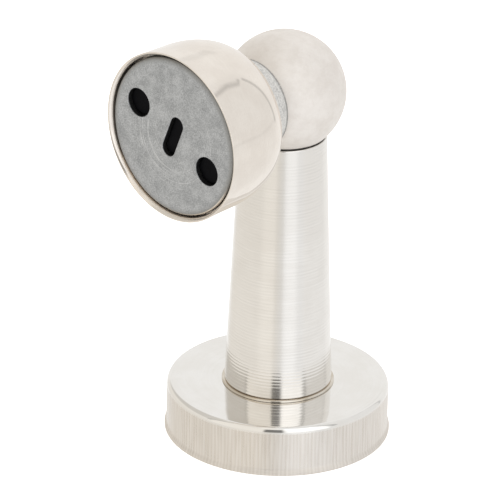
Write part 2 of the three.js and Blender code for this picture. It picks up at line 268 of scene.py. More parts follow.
def polished_cup():
    steel = Finish("polished_steel", Metallic=1.0, IOR=2.4)
    x, y, z = steel.place(HEAD_CENTRE)
    around = steel.length(x, z)
    cloud = steel.noise(steel.vector(x, y, z), 0.16, 3.0, 0.55)
    lines = steel.noise(steel.vector(x / around * 5.0, y * 6.0, z / around * 5.0), 1.0, 3.0, 0.6)
    speck = steel.noise(steel.vector(x, y, z), 2.2, 2.0, 0.6)
    tone = cloud * 0.6 + lines * 0.25 + speck * 0.15
    dark, light = (0.825, 0.765, 0.70), (0.885, 0.83, 0.765)
    steel.feed("Base Color", steel.mix(dark, light, tone.ramp(0.36, 0.64)))
    smooth = cloud.ramp(0.3, 0.7, 0.035, 0.06) + lines.ramp(0.4, 0.75, 0.0, 0.025)
    inside = y.ramp(0.4 - MOUTH_STEP, -MOUTH_STEP) * around.ramp(CUP_MOUTH + 0.23, CUP_MOUTH + 0.15)
    bevel = y.ramp(1.0 - CUP_RIM, 0.7 - CUP_RIM) * around.ramp(CUP_MOUTH + 0.70, CUP_MOUTH + 0.55)
    steel.feed("Roughness", smooth + inside * 0.3 + bevel * 0.12)
    wave = steel.noise(steel.vector(x, y * 0.6, z), 0.10, 1.0, 0.4)
    steel.bump(wave + lines * 0.02 + speck * 0.008, 0.06)
    return steel.material


polished_steel = polished_cup()
print("finish", polished_steel.name, "with", len(polished_steel.node_tree.nodes), "nodes")

# %% [markdown]
# ## The base cover's three surfaces
# One pressing, finished three ways. Its top is nearly a mirror, with faint rings. Its wall was
# held against a belt, which leaves fine upright lines. The shoulder between them is rubbed
# bright. A point's height says which surface it is on. The belt's lines are a cosine of the
# bearing, for the even pitch of its grit, under noise that adds stray lines. The thin ring on the
# cover shares the finish, tinted a little brown in patches.

# %% Make the base cover's finish
BELT_LINES = 180.0
SHOULDER_HIGH = 1.4


def cover_finish():
    steel = Finish("cover_steel", Metallic=1.0, IOR=2.4)
    x, y, z = steel.place()
    radius = steel.length(x, y)
    shoulder = COVER_TOP - SHOULDER_HIGH
    wall = z.ramp(shoulder + 0.3, shoulder - 0.3)
    across, along = x / radius, y / radius
    fine = steel.noise(steel.vector(across * 46.0, along * 46.0, z * 0.10), 1.0, 1.0, 0.5)
    broad = steel.noise(steel.vector(across * 13.0, along * 13.0, z * 0.07), 1.0, 2.0, 0.5)
    rings = steel.noise(steel.vector(radius * 1.6, across * 1.5, along * 1.5), 1.0, 3.0, 0.6)
    cloud = steel.noise(steel.vector(x, y, z), 0.14, 3.0, 0.55)
    speck = steel.noise(steel.vector(x, y, z), 2.4, 2.0, 0.6)
    turn = steel.math("ARCTAN2", x, y) * BELT_LINES + broad * 5.0
    comb = steel.math("COSINE", turn) * 0.5 + 0.5
    lines = comb * 0.18 + fine * 0.62 + broad * 0.2
    on_wall = steel.mix((0.71, 0.665, 0.61), (0.84, 0.80, 0.755), lines.ramp(0.25, 0.75))
    even = (cloud * 0.7 + rings * 0.3).ramp(0.35, 0.65)
    on_top = steel.mix((0.835, 0.815, 0.78), (0.87, 0.855, 0.83), even)
    clean = steel.mix(on_top, on_wall, wall)
    # the ring, which stands above the cover's top, is tinted a little brown in patches
    brown_tint = z.ramp(COVER_TOP + 0.02, COVER_TOP + 0.05) * cloud.ramp(0.35, 0.6, 0.5, 0.9)
    steel.feed("Base Color", steel.mix(clean, (0.60, 0.53, 0.43), brown_tint))
    smooth = cloud.ramp(0.3, 0.7, 0.04, 0.08) + speck.ramp(0.5, 0.8, 0.0, 0.03)
    brushed = lines.ramp(0.3, 0.7, 0.26, 0.36) + z.ramp(2.0, 1.0) * 0.25
    steel.feed("Roughness", smooth * (1.0 - wall) + brushed * wall)
    wave = steel.noise(steel.vector(x, y, z), 0.09, 1.0, 0.4)
    relief = wall * lines * 0.5 + (1.0 - wall) * (wave * 0.4 + rings * 0.02)
    steel.bump(relief, 0.06)
    return steel.material


cover_steel = cover_finish()
print("finish", cover_steel.name)

# %% [markdown]
# ## Turned steel
# The post came off a lathe and wasn't buffed, so it keeps the tool's fine rings. The rings
# themselves are cut as real relief further down. The finish adds what is finer still: hairlines
# between the rings and patches where the tool rubbed. It paints shade into the bottoms of the
# rings, a little more near the foot, and darkens the colour towards the top as painted shade. The
# lowest fraction of a millimetre is tinted brown.

# %% Make the turned finish
RING_PITCH = 0.76


def turned_finish():
    steel = Finish("turned_steel", Metallic=1.0, IOR=2.4)
    x, y, z = steel.place()
    radius = steel.length(x, y)
    across, along = x / radius, y / radius
    hair = steel.noise(steel.vector(across * 0.9, along * 0.9, z * 4.0), 1.0, 3.0, 0.7)
    band = steel.noise(steel.vector(across * 1.2, along * 1.2, z * 0.8), 1.0, 2.0, 0.5)
    patch = steel.noise(steel.vector(x, y, z), 0.12, 3.0, 0.6)
    ring = steel.math("COSINE", z * (2 * math.pi / RING_PITCH)) * 0.5 + 0.5
    foot = z.ramp(POST_FOOT + 22.0, POST_FOOT + 1.0)
    tone = hair * 0.3 + band * 0.3 + patch * 0.4
    # painted shade: the colour darkens towards the top of the post
    even = tone.ramp(0.36, 0.62) - z.ramp(30.0, 62.0) * 0.6
    plain = steel.mix((0.83, 0.805, 0.77), (0.89, 0.87, 0.84), even)
    # painted shade in the bottoms of the lathe rings, patchy, and stronger near the foot
    groove = ring * band.ramp(0.4, 0.6, 0.0, 0.10) + ring * foot * 0.04
    # the lowest fraction of a millimetre of the post is tinted brown
    brown_tint = z.ramp(POST_FOOT + 0.45, POST_FOOT + 0.15)
    with_ring_shade = steel.mix(plain, (0.50, 0.475, 0.44), groove)
    steel.feed("Base Color", steel.mix(with_ring_shade, (0.46, 0.37, 0.28), brown_tint * 0.4))
    steel.feed("Roughness", tone.ramp(0.3, 0.7, 0.17, 0.11))
    steel.bump(hair, 0.006)
    return steel.material


turned_steel = turned_finish()
print("finish", turned_steel.name)

# %% [markdown]
# ## Satin steel for the ball
# The ball is blasted or tumbled, not buffed. Light spreads on it, and its surface looks cloudy,
# with soft darker veins and some fine scratches from handling.

# %% Make the satin finish
def satin_finish():
    steel = Finish("satin_steel", Metallic=1.0, IOR=2.4)
    x, y, z = steel.place(HEAD_CENTRE)
    point = steel.vector(x, y, z)
    cloud = steel.noise(point, 0.22, 5.0, 0.62)
    vein = steel.noise(steel.vector(x + z * 0.6, y, z - x * 0.3), 0.5, 4.0, 0.7)
    grain = steel.noise(point, 5.5, 2.0, 0.6)
    tone = cloud * 0.55 + vein * 0.25 + grain * 0.2
    dark, light = (0.865, 0.825, 0.785), (0.93, 0.895, 0.86)
    steel.feed("Base Color", steel.mix(dark, light, tone.ramp(0.36, 0.62)))
    steel.feed("Roughness", tone.ramp(0.3, 0.7, 0.68, 0.58))
    steel.bump(grain * 0.5 + vein * 0.3, 0.012)
    return steel.material


satin_steel = satin_finish()
print("finish", satin_steel.name)

# %% [markdown]
# ## The collar's grey steel
# The collar is blasted with fine beads, which leaves a grey grain without a direction over the
# faint lines of the lathe. Its end where it meets the ball gets a thin line of painted shade.

# %% Make the collar's finish
def collar_finish():
    steel = Finish("collar_steel", Metallic=1.0, IOR=2.4)
    x, y, z = steel.place(HEAD_CENTRE)
    around = steel.length(x, z)
    grain = steel.noise(steel.vector(x, y, z), 2.2, 4.0, 0.7)
    lines = steel.noise(steel.vector(x / around * 2.0, y * 5.0, z / around * 2.0), 1.0, 2.0, 0.6)
    tone = grain * 0.6 + lines * 0.4
    blasted = steel.mix((0.60, 0.595, 0.58), (0.86, 0.85, 0.83), tone.ramp(0.36, 0.60))
    # painted shade: a thin dark line at the collar's end next to the ball, broken up by the grain
    groove = y.ramp(-9.9, -9.7) * grain.ramp(0.35, 0.5)
    steel.feed("Base Color", steel.mix(blasted, (0.16, 0.155, 0.15), groove * 0.6))
    steel.feed("Roughness", tone.ramp(0.3, 0.7, 0.55, 0.44))
    steel.bump(grain, 0.02)
    return steel.material


collar_steel = collar_finish()
print("finish", collar_steel.name)

# %% [markdown]
# ## The ground face
# The face that the door's plate meets is bare ground steel: fine grain and a few arcs from the
# grinding wheel. The arcs are noise stretched along circles, kept by masks to where the wheel
# pressed. Painted shade darkens its outer edge unevenly, and a painted highlight runs along the
# lower part of the rounded edge. The walls of the holes, which lie deeper than the front, are
# painted nearly black as shade.

# %% Make the ground face's finish
def face_finish():
    steel = Finish("face_steel", Metallic=0.85, IOR=2.0)
    x, y, z = steel.place(HEAD_CENTRE)
    radius = steel.length(x, z)
    # the rounded edge lies deeper too, so it is lifted by 1 mm before the walls are told apart
    depth = y + FACE_FRONT - radius.ramp(15.0, 16.5)
    front = depth.ramp(0.32, 0.08)
    grain = steel.noise(steel.vector(x, y, z), 3.4, 3.0, 0.65)
    mottle = steel.noise(steel.vector(x, y, z), 0.35, 4.0, 0.6)
    swing = steel.noise(steel.vector(radius * 4.2, x / radius * 0.8, z / radius * 0.8), 1.0, 2.0, 0.6)
    low_left = ((x + z) / radius).ramp(0.3, -0.7) * radius.ramp(4.0, 6.5) * radius.ramp(13.0, 10.5)
    right = (x / radius).ramp(0.72, 0.95) * radius.ramp(8.5, 10.0) * radius.ramp(13.0, 11.5)
    arcs = swing.ramp(0.54, 0.66) * (low_left + right * 0.8)
    # painted shade along the face's outer edge, uneven by noise
    outer_edge_shade = (radius + mottle * 1.6 + grain * 0.8).ramp(17.5, 18.9)
    # painted highlight along the lower part of the rounded edge
    lower_edge_highlight = radius.ramp(17.38, 17.46) * (z / radius).ramp(-0.35, -0.65)
    tone = grain * 0.65 + mottle * 0.35
    plain = steel.mix((0.29, 0.30, 0.31), (0.53, 0.545, 0.56), tone.ramp(0.34, 0.66))
    marked = steel.mix(plain, (0.74, 0.75, 0.76), arcs * 0.5)
    with_outer_edge_shade = steel.mix(marked, (0.25, 0.25, 0.24), outer_edge_shade * 0.8)
    with_lower_edge_highlight = steel.mix(with_outer_edge_shade, (0.80, 0.75, 0.69), lower_edge_highlight)
    # painted shade: the walls of the holes, deeper than the front, are nearly black
    steel.feed("Base Color", steel.mix((0.05, 0.05, 0.05), with_lower_edge_highlight, front))
    steel.feed("Roughness", tone.ramp(0.3, 0.7, 0.50, 0.38) - arcs * 0.1 - lower_edge_highlight * 0.25)
    steel.bump(grain * 0.5 + arcs * 0.25, 0.012)
    return steel.material


face_steel = face_finish()
print("finish", face_steel.name)

# %% [markdown]
# ## Zinc, plastic, nylon and ferrite
# The hidden bolts and washers are zinc-plated, with a faint bluish bloom. The carrier and the
# friction ring are moulded, and the magnet is pressed from powder. These three differ only in
# tone, shine and grain, so one function makes them.

# %% Make the zinc, plastic, nylon and ferrite finishes
def zinc_finish():
    zinc = Finish("zinc_steel", Metallic=1.0, IOR=2.2)
    x, y, z = zinc.place()
    bloom = zinc.noise(zinc.vector(x, y, z), 0.6, 4.0, 0.6)
    grain = zinc.noise(zinc.vector(x, y, z), 5.0, 2.0, 0.6)
    zinc.feed("Base Color", zinc.mix((0.50, 0.52, 0.55), (0.72, 0.73, 0.74), bloom.ramp(0.38, 0.62)))
    zinc.feed("Roughness", (bloom * 0.5 + grain * 0.5).ramp(0.3, 0.7, 0.42, 0.28))
    zinc.bump(grain, 0.008)
    return zinc.material


def moulded_finish(name, dark, light, low, high, grain_depth, shine=0.5):
    plastic = Finish(name, Metallic=0.0, IOR=1.5, Specular_IOR_Level=shine)
    x, y, z = plastic.place()
    grain = plastic.noise(plastic.vector(x, y, z), 4.0, 3.0, 0.6)
    flow = plastic.noise(plastic.vector(x, y, z), 0.4, 2.0, 0.5)
    tone = grain * 0.5 + flow * 0.5
    plastic.feed("Base Color", plastic.mix(dark, light, tone.ramp(0.35, 0.65)))
    plastic.feed("Roughness", tone.ramp(0.3, 0.7, low, high))
    plastic.bump(grain, grain_depth)
    return plastic.material


zinc_steel = zinc_finish()
black_plastic = moulded_finish(
    "black_plastic", (0.002, 0.002, 0.0025), (0.004, 0.004, 0.005), 0.3, 0.45, 0.01, shine=0.03,
)
nylon = moulded_finish("nylon", (0.020, 0.017, 0.014), (0.045, 0.038, 0.032), 0.45, 0.6, 0.01)
ferrite = moulded_finish("ferrite", (0.022, 0.022, 0.024), (0.055, 0.055, 0.060), 0.6, 0.8, 0.03)
print("finishes", [m.name for m in (zinc_steel, black_plastic, nylon, ferrite)])

# %% [markdown]
# ## Turning a part
# Nearly every part here was spun on a lathe, so one helper spins an outline round an axis. The
# outline is a list of radius and height pairs in millimetres. For the head's parts the axis lies
# flat: a height becomes a distance out from the ball, towards -Y. Outlines that touch the axis
# close there; the others close on themselves, like a ring.

# %% Spin an outline into a mesh
def bend(radius, height, across, up, start, end, steps):
    """Points round a quarter bend or any other arc, angles in degrees."""
    points = []
    for i in range(steps + 1):
        angle = math.radians(start + (end - start) * i / steps)
        points.append((radius + across * math.cos(angle), height + up * math.sin(angle)))
    return points


def corner(radius, height, size, start, steps):
    """A quarter round inside an outer corner, at its low end (start -90) or its high end (start 0)."""
    middle = height + size if start < 0 else height - size
    return bend(radius - size, middle, size, size, start, start + 90, steps)


def upright(x, y, z):
    return (MM * x, MM * y, MM * z)


def outward(x, y, z):
    """From the head's own axis, where z is the distance out, to the frame."""
    return (MM * x, -MM * z, MM * (y + BALL_HEIGHT))


def faced(mesh, angle=28.0):
    """Smooth shading, with edges kept where the surface turns sharply."""
    mesh.polygons.foreach_set("use_smooth", [True] * len(mesh.polygons))
    mesh.set_sharp_from_angle(angle=math.radians(angle))
    mesh.update()
    return mesh


def spin(name, outline, sides, to_frame=upright, angle=28.0):
    """A closed turned solid from an outline that is either a loop or starts and ends on the axis."""
    area = sum(a[0] * b[1] - b[0] * a[1] for a, b in zip(outline, outline[1:] + outline[:1]))
    outline = outline if area > 0 else outline[::-1]
    on_axis = outline[0][0] < 1e-6 or outline[-1][0] < 1e-6
    made = bmesh.new()
    rows = []
    for radius, height in outline:
        if radius < 1e-6:
            rows.append([made.verts.new(to_frame(0, 0, height))] * sides)
            continue
        turns = [2 * math.pi * i / sides for i in range(sides)]
        points = [to_frame(radius * math.cos(t), radius * math.sin(t), height) for t in turns]
        rows.append([made.verts.new(point) for point in points])
    if not on_axis:
        rows.append(rows[0])
    for low, high in zip(rows, rows[1:]):
        for i in range(sides):
            j = (i + 1) % sides
            corners = list(dict.fromkeys((low[i], low[j], high[j], high[i])))
            if len(corners) > 2:
                made.faces.new(corners)
    mesh = bpy.data.meshes.new(name)
    made.to_mesh(mesh)
    made.free()
    return faced(mesh, angle)


def fit(name, mesh, material, body, node):
    """Puts a finished mesh in the scene in place of a CAD node, riding on that node's body."""
    piece = bpy.data.objects.new(name, mesh)
    bpy.context.scene.collection.objects.link(piece)
    mesh.materials.clear()
    mesh.materials.append(material)
    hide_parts(node)
    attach(piece, body)
    print(name, "replaces", node, "with", len(mesh.polygons), "faces")
    return piece


print("ready to turn parts")

# %% [markdown]
# ## The base cover
# The cover is a shallow pan upside down. Its rim turns out a little where it meets the floor, in
# a smooth curve, and its shoulder is a tight bend, higher than it is wide, that catches a bright
# line. The middle is open for the stud that holds the holder together. A few extra rows across
# the flat top keep its shading even.

# %% Turn the base cover
LIP = 0.4
LIP_ROUND = 0.2
WALL = COVER_LIP - LIP
SHOULDER_WIDE = 1.1
SHEET = 1.0
INNER_BEND = 0.6
STUD_HOLE = 4.2

lip_curve = [(WALL + LIP / 2 * (1.0 + math.cos(math.pi * i / 8)), 0.6 + 0.12 * i) for i in range(9)]
cover_outline = [
    (WALL - SHEET, 0.0), *corner(COVER_LIP, 0.0, LIP_ROUND, -90, 4), *lip_curve, (WALL, 4.0), (WALL, 7.0),
    *bend(WALL - SHOULDER_WIDE, COVER_TOP - SHOULDER_HIGH, SHOULDER_WIDE, SHOULDER_HIGH, 0, 90, 16),
    *[(radius, COVER_TOP) for radius in (20.0, 14.0, 8.0, STUD_HOLE)], (STUD_HOLE, COVER_TOP - SHEET),
    *corner(WALL - SHEET, COVER_TOP - SHEET, INNER_BEND, 0, 6)[::-1],
]
cover = fit("cover", spin("cover", cover_outline, 256), cover_steel, "base", "base_cover")

# %% [markdown]
# ## The ring at the post's foot
# A thin polished washer lies on the cover, and the post clamps down on it. Its top edge is softly
# rounded. It is turned a hair smaller than its exact solid, because its own mirror image in the
# cover makes it look wider.

# %% Turn the ring at the post's foot
RING_LOW, RING_HIGH = span("foot_ring", 2)
RING_RADIUS = span("foot_ring", 0)[1] - 0.15
RING_ROUND = 0.3
RING_BEVEL = 0.05
ring_outline = [
    (STUD_HOLE, RING_LOW), *corner(RING_RADIUS, RING_LOW, RING_BEVEL, -90, 3),
    *corner(RING_RADIUS, RING_HIGH, RING_ROUND, 0, 8), (STUD_HOLE, RING_HIGH),
]
ring = fit("ring", spin("ring", ring_outline, 192), cover_steel, "base", "foot_ring")

# %% [markdown]
# ## Trees that repeat things by a rule
# Two things on the holder follow a rule: the turned rings on the post and the coils of the
# spring. Geometry Nodes suit both. One class makes a tree with named inputs, ends it with real
# geometry and its material, and gives back the result as a plain mesh, with nothing left behind.

# %% Write a small helper for Geometry Nodes trees
class Tree:
    """A Geometry Nodes tree with named inputs, and one method that makes its nodes."""

    def __init__(self, name, inputs):
        self.tree = bpy.data.node_groups.new(name, "GeometryNodeTree")
        face = self.tree.interface
        face.new_socket("Geometry", in_out="INPUT", socket_type="NodeSocketGeometry")
        face.new_socket("Geometry", in_out="OUTPUT", socket_type="NodeSocketGeometry")
        self.keys = {}
        for label, (kind, value) in inputs.items():
            made = face.new_socket(label, in_out="INPUT", socket_type=kind)
            made.default_value = value
            self.keys[label] = made.identifier
        self.start = self.tree.nodes.new("NodeGroupInput")
        self.end = self.tree.nodes.new("NodeGroupOutput")

    def node(self, kind, settings=None, inputs=None, output=0):
        made = self.tree.nodes.new(kind)
        for key, value in (settings or {}).items():
            setattr(made, key, value)
        for key, value in (inputs or {}).items():
            if isinstance(value, bpy.types.NodeSocket):
                self.tree.links.new(value, made.inputs[key])
            else:
                made.inputs[key].default_value = value
        return made.outputs[output]

    def given(self, label):
        return self.start.outputs[label]

    def math(self, operation, *values):
        return self.node("ShaderNodeMath", {"operation": operation}, dict(enumerate(values)))

    def product(self, first, *others):
        for other in others:
            first = self.math("MULTIPLY", first, other)
        return first

    def finish(self, geometry, material):
        """Ends the tree: real geometry, with its material."""
        real = self.node("GeometryNodeRealizeInstances", None, {0: geometry})
        painted = self.node("GeometryNodeSetMaterial", None, {"Geometry": real, "Material": material})
        self.tree.links.new(painted, self.end.inputs[0])

    def run(self, name, mesh, **values):
        """The tree's result on a mesh, as a new plain mesh."""
        worker = bpy.data.objects.new(name, mesh)
        bpy.context.scene.collection.objects.link(worker)
        modifier = worker.modifiers.new(name, "NODES")
        modifier.node_group = self.tree
        for label, value in values.items():
            modifier[self.keys[label.replace("_", " ")]] = value
        graph = bpy.context.evaluated_depsgraph_get()
        made = bpy.data.meshes.new_from_object(worker.evaluated_get(graph))
        worker.modifiers.clear()
        bpy.data.objects.remove(worker)
        made.name = name
        return made


print("ready to build trees")

# %% [markdown]
# ## The tree that cuts the post's rings
# The rings come from the lathe's feed: one shallow groove for every turn, about three quarters of
# a millimetre apart, deeper near the foot, where the tool cut harder. The tree moves each point
# of the outer wall in by a cosine of its height, so the groove comes back once a pitch, times a
# noise, since a tool never cuts quite evenly. The bore and both ends stay as they are.

# %% Build the tree that cuts turning rings
DEEP_UP_TO = 0.040
WANDER = 700.0


def ring_cutter():
    length = "NodeSocketFloat"
    cutter = Tree("turning_rings", {
        "Pitch": (length, 0.00076), "Depth": (length, 0.000005), "Foot Depth": (length, 0.000020),
        "From": (length, 0.012), "To": (length, 0.0714), "Bore": (length, 0.009), "Seed": (length, 0.0),
    })
    place = cutter.node("GeometryNodeInputPosition")
    apart = cutter.node("ShaderNodeSeparateXYZ", None, {0: place})
    x, y, z = [apart.node.outputs[i] for i in range(3)]
    radius = cutter.math("SQRT", cutter.math("ADD", cutter.product(x, x), cutter.product(y, y)))
    outside = cutter.math("GREATER_THAN", radius, cutter.given("Bore"))
    above = cutter.math("GREATER_THAN", z, cutter.given("From"))
    below = cutter.math("LESS_THAN", z, cutter.given("To"))
    share = cutter.node("ShaderNodeMapRange", {"interpolation_type": "SMOOTHSTEP"}, {
        0: z, 1: cutter.given("From"), 2: DEEP_UP_TO, 3: 1.0, 4: 0.0,
    })
    deepest = cutter.math("ADD", cutter.product(share, cutter.given("Foot Depth")), cutter.given("Depth"))
    along = cutter.math("ADD", cutter.product(z, WANDER), cutter.given("Seed"))
    noise = cutter.node("ShaderNodeTexNoise", {"noise_dimensions": "1D"}, {"W": along, "Detail": 2.0})
    uneven = cutter.math("ADD", cutter.product(noise, 1.6), 0.2)
    turns = cutter.product(cutter.math("DIVIDE", z, cutter.given("Pitch")), 2 * math.pi)
    groove = cutter.math("ADD", cutter.product(cutter.math("COSINE", turns), 0.5), 0.5)
    inward = cutter.math("DIVIDE", cutter.product(deepest, uneven, groove, -1.0), radius)
    offset = cutter.node("ShaderNodeCombineXYZ", None, {
        0: cutter.product(x, inward), 1: cutter.product(y, inward),
    })
    moved = cutter.node("GeometryNodeSetPosition", None, {
        "Geometry": cutter.given("Geometry"), "Offset": offset,
        "Selection": cutter.product(outside, above, below),
    })
    cutter.finish(moved, turned_steel)
    return cutter


turning_rings = ring_cutter()
print("tree", turning_rings.tree.name, "inputs", list(turning_rings.keys))

# %% [markdown]
# ## The post
# The post is a tapered tube, widest at the foot. It is turned plain, with six rows of points for
# each groove, so that the rings cut into it are real relief and not painted.

# %% Turn the post and cut its rings
FOOT_RADIUS = 11.9
TOP_RADIUS = span("seat_ring", 0)[1] + 0.4
POST_SHEET = 1.5
POST_BEVEL = 0.15
POST_ROUND = 0.2
ROWS_PER_RING = 6


def post_radius(height):
    return FOOT_RADIUS + (TOP_RADIUS - FOOT_RADIUS) * (height - POST_FOOT) / (POST_TOP - POST_FOOT)


post_rows = round((POST_TOP - POST_FOOT - 0.5) / RING_PITCH * ROWS_PER_RING)
wall_height = POST_TOP - POST_FOOT - POST_BEVEL - POST_ROUND
post_outline = [(post_radius(POST_FOOT) - inset, POST_FOOT) for inset in (POST_SHEET, POST_BEVEL)]
for i in range(post_rows + 1):
    height = POST_FOOT + POST_BEVEL + wall_height * i / post_rows
    post_outline.append((post_radius(height), height))
top_radius = post_radius(POST_TOP)
post_outline += bend(top_radius - POST_ROUND, POST_TOP - POST_ROUND, POST_ROUND, POST_ROUND, 20, 90, 4)
post_outline.append((top_radius - POST_SHEET, POST_TOP))
post_mesh = turning_rings.run("post", spin("plain_post", post_outline, 160), Pitch=MM * RING_PITCH)
post = fit("post", faced(post_mesh), turned_steel, "base", "post_tube")

# %% [markdown]
# ## The ball and the dark line under it
# The ball is flat underneath, where it rides on a thin friction ring a little narrower than the
# post. Seen from outside that ring is only a dark line, so a plain outline is enough. The bolt
# that holds the ball down goes up into a blind hole in it.

# %% Turn the friction ring and the ball
SEAT_LOW, SEAT_HIGH = span("seat_ring", 2)
SEAT_RADIUS = span("seat_ring", 0)[1]
SEAT_BORE = 3.3
seat_outline = [
    (SEAT_BORE, SEAT_LOW), (SEAT_RADIUS, SEAT_LOW), (SEAT_RADIUS, SEAT_HIGH), (SEAT_BORE, SEAT_HIGH),
]
seat = fit("seat", spin("seat", seat_outline, 160), nylon, "base", "seat_ring")

BALL_RADIUS = span("ball", 2)[1] - BALL_HEIGHT
BALL_FLAT = span("ball", 2)[0]
flat_angle = math.degrees(math.asin((BALL_FLAT - BALL_HEIGHT) / BALL_RADIUS))
BOLT_HOLE = 2.95
BOLT_HOLE_END = 83.4
ball_outline = [(0.0, BOLT_HOLE_END), (BOLT_HOLE, BOLT_HOLE_END), (BOLT_HOLE, BALL_FLAT)]
ball_outline += bend(0.0, BALL_HEIGHT, BALL_RADIUS, BALL_RADIUS, flat_angle, 90, 110)
ball_outline[-1] = (0.0, BALL_HEIGHT + BALL_RADIUS)
ball = fit("ball_skin", spin("ball_skin", ball_outline, 192), satin_steel, "head", "ball")

# %% [markdown]
# ## The collar
# The collar is turned to sit on the ball, so its inner end is hollow, to a radius a little over
# the ball's own. It is nearly straight, and widens by a fraction towards the cup.

# %% Turn the collar
COLLAR_RADIUS = 10.0
COLLAR_BORE = 2.5
COLLAR_WIDE = 10.6
SEAT_SPHERE = BALL_RADIUS + 0.12
collar_end = -span("neck_collar", 1)[0]
inner_angle = math.degrees(math.asin(COLLAR_BORE / SEAT_SPHERE))
outer_angle = math.degrees(math.asin(COLLAR_RADIUS / SEAT_SPHERE))
collar_outline = []
for i in range(17):
    angle = math.radians(inner_angle + (outer_angle - inner_angle) * i / 16)
    collar_outline.append((SEAT_SPHERE * math.sin(angle), SEAT_SPHERE * math.cos(angle)))
collar_outline += [(COLLAR_RADIUS + 0.02, 9.6), (COLLAR_RADIUS + 0.1, collar_end - 3.45)]
collar_outline += [(COLLAR_WIDE + 0.06, collar_end - 0.15), (COLLAR_WIDE, collar_end)]
collar_outline.append((COLLAR_BORE, collar_end))
collar_mesh = spin("collar", collar_outline, 160, outward)
collar = fit("collar", collar_mesh, collar_steel, "head", "neck_collar")

# %% [markdown]
# ## The cup
# The cup is drawn from sheet: a full round shoulder at the back that runs out into an almost
# straight wall, which opens by a fifth of a millimetre towards the rim. Inside the rim a thin
# bevel runs back into the mouth, which ends at a step. The groove behind the step holds the snap
# ring that keeps the magnet pack in.

# %% Turn the cup
CUP_STRAIGHT = CUP_RIM_RADIUS - 0.2
CUP_FLAT = 13.35
CUP_SHOULDER = 12.0
CUP_SHEET = 0.95
CUP_LAND = CUP_STRAIGHT - CUP_SHEET + 0.05
BACK_SHEET = 1.0
SCREW_HOLE = 2.55
RIM_ROUND = 0.12
GROOVE_BACK, GROOVE_FRONT = 29.42, 30.38

outer_bend = bend(CUP_FLAT, CUP_BACK + CUP_SHOULDER, CUP_STRAIGHT - CUP_FLAT, CUP_SHOULDER, -90, 0, 40)
inner_wide = CUP_STRAIGHT - CUP_SHEET - CUP_FLAT
inner_bend = bend(CUP_FLAT, CUP_BACK + CUP_SHOULDER, inner_wide, CUP_SHOULDER - BACK_SHEET, 0, -90, 16)
rim_bevel = [(0.52, 0.02), (0.47, 0.06), (0.03, 0.74), (0.0, 0.82)]
cup_outline = [
    (SCREW_HOLE, CUP_BACK), *outer_bend,
    (CUP_STRAIGHT + 0.08, CUP_RIM - 4.5), (CUP_RIM_RADIUS, CUP_RIM - 0.16),
    *bend(CUP_RIM_RADIUS - RIM_ROUND, CUP_RIM - RIM_ROUND, RIM_ROUND, RIM_ROUND, 10, 90, 5),
    *[(CUP_MOUTH + wider, CUP_RIM - deeper) for wider, deeper in rim_bevel],
    (CUP_MOUTH, MOUTH_STEP), (CUP_LAND, MOUTH_STEP), (CUP_LAND, GROOVE_FRONT),
    (CUP_MOUTH, GROOVE_FRONT), (CUP_MOUTH, GROOVE_BACK), (CUP_LAND, GROOVE_BACK),
    *inner_bend, (SCREW_HOLE, CUP_BACK + BACK_SHEET),
]
cup_mesh = spin("cup", cup_outline, 256, outward)
cup = fit("cup", cup_mesh, polished_steel, "head", "magnet_cup")

# %% [markdown]
# ## A plate with holes
# A flat part with holes isn't turned. It is a few outlines, one outer and some holes, each
# stepped down from the front to the back. The flat front and back are then filled in between the
# outlines. Each outline is a function that can be asked for itself grown or shrunk a little,
# which gives an edge its bevel or round.

# %% Build a plate from stepped outlines
def circle(x, y, radius, count):
    """An outline that can be asked to grow: a circle."""
    def points(grow):
        turns = [2 * math.pi * i / count for i in range(count)]
        reach = radius + grow
        return [(x + reach * math.cos(t), y + reach * math.sin(t)) for t in turns]
    return points


def long_hole(width, length, angle, count):
    """An outline that can be asked to grow: a slot with round ends, about the axis."""
    def points(grow):
        half = (length - width) / 2
        ends = []
        for side in (0, 180):
            turn = math.radians(angle + side)
            x, y, reach = half * math.cos(turn), half * math.sin(turn), width / 2 + grow
            for i in range(count + 1):
                t = turn + math.pi * (i / count - 0.5)
                ends.append((x + reach * math.cos(t), y + reach * math.sin(t)))
        return ends
    return points


def plate(name, contours):
    """A flat part. Each contour is an outline and its steps, (growth, distance out), front to back."""
    made = bmesh.new()
    rims = ([], [])
    for outline, steps in contours:
        rows = [[made.verts.new(outward(x, y, reach)) for x, y in outline(grow)] for grow, reach in steps]
        for front, back in zip(rows, rows[1:]):
            for i in range(len(front)):
                j = (i + 1) % len(front)
                made.faces.new((front[i], front[j], back[j], back[i]))
        rims[0].append(rows[0])
        rims[1].append(rows[-1])
    for rows in rims:
        edges = [made.edges.get((row[i - 1], row[i])) for row in rows for i in range(len(row))]
        bmesh.ops.triangle_fill(made, edges=edges, use_beauty=True, use_dissolve=False)
    bmesh.ops.recalc_face_normals(made, faces=made.faces)
    mesh = bpy.data.meshes.new(name)
    made.to_mesh(mesh)
    made.free()
    return faced(mesh)


print("ready to build plates")

# %% [markdown]
# ## The face
# The face is a disc punched from plate. Punching draws its outer edge down into a soft round, and
# leaves a much smaller one on the two round holes and the slot, which the fitting tool grips.

# %% Punch the face
TOOL_HOLE = 3.25
TOOL_CIRCLE = 11.3
TOOL_ANGLE = 155.3
SLOT_WIDE = 3.7
SLOT_LONG = 10.2
SLOT_ANGLE = 69.0
FACE_EDGE = 0.8
HOLE_EDGE = 0.12
face_back = -span("pole_plate", 1)[1]

tool_places = []
for angle in (TOOL_ANGLE, TOOL_ANGLE + 180):
    turn = math.radians(angle)
    tool_places.append((TOOL_CIRCLE * math.cos(turn), TOOL_CIRCLE * math.sin(turn)))


def openings(smaller):
    """The two holes and the slot, or the pegs that fill them, that much smaller."""
    holes = [circle(x, y, TOOL_HOLE - smaller, 64) for x, y in tool_places]
    return [*holes, long_hole(SLOT_WIDE - 2 * smaller, SLOT_LONG - 2 * smaller, SLOT_ANGLE, 24)]


